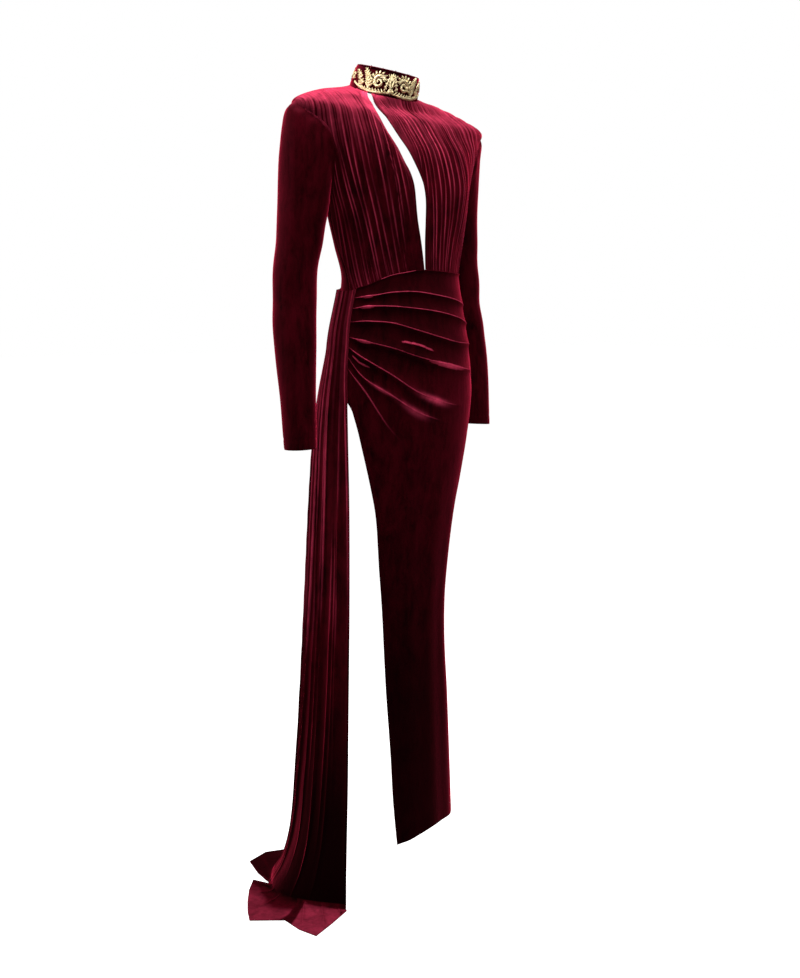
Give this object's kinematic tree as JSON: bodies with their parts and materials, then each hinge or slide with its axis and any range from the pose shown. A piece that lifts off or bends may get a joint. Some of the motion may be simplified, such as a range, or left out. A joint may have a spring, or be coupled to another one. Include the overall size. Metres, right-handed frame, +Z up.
{
  "type": "velvet evening gown",
  "caption": "Long-sleeved crushed-velvet evening gown with gold collar applique, front and leg slits, open back, draped hip and a pleated side train, in its worn shape.",
  "frame": {"origin": "middle of the wearer's shoulder line, 1.56 m above the floor that the train lies on", "axes": "+Z up, the gown faces -Y, the wearer's right side is -X"},
  "size_m": [0.617, 0.4272, 1.6644],
  "materials": {
    "velvet": "crushed velvet pile",
    "gold_applique": "gold thread embroidery"
  },
  "bodies": {
    "root": {"bodice_front_right": "velvet", "bodice_back_right": "velvet", "bodice_front_left": "velvet", "bodice_back_left": "velvet", "sleeve_right": "velvet", "sleeve_left": "velvet", "collar": "velvet", "skirt_front": "velvet", "skirt_back": "velvet", "train": "velvet", "motif_front_palmette": "gold_applique", "motif_front_scroll_a": "gold_applique", "motif_front_scroll_b": "gold_applique", "motif_front_frond_a": "gold_applique", "motif_front_frond_b": "gold_applique", "motif_back_palmette": "gold_applique", "motif_back_scroll_a": "gold_applique", "motif_back_scroll_b": "gold_applique", "motif_back_frond_a": "gold_applique", "motif_back_frond_b": "gold_applique"}
  },
  "joints": []
}
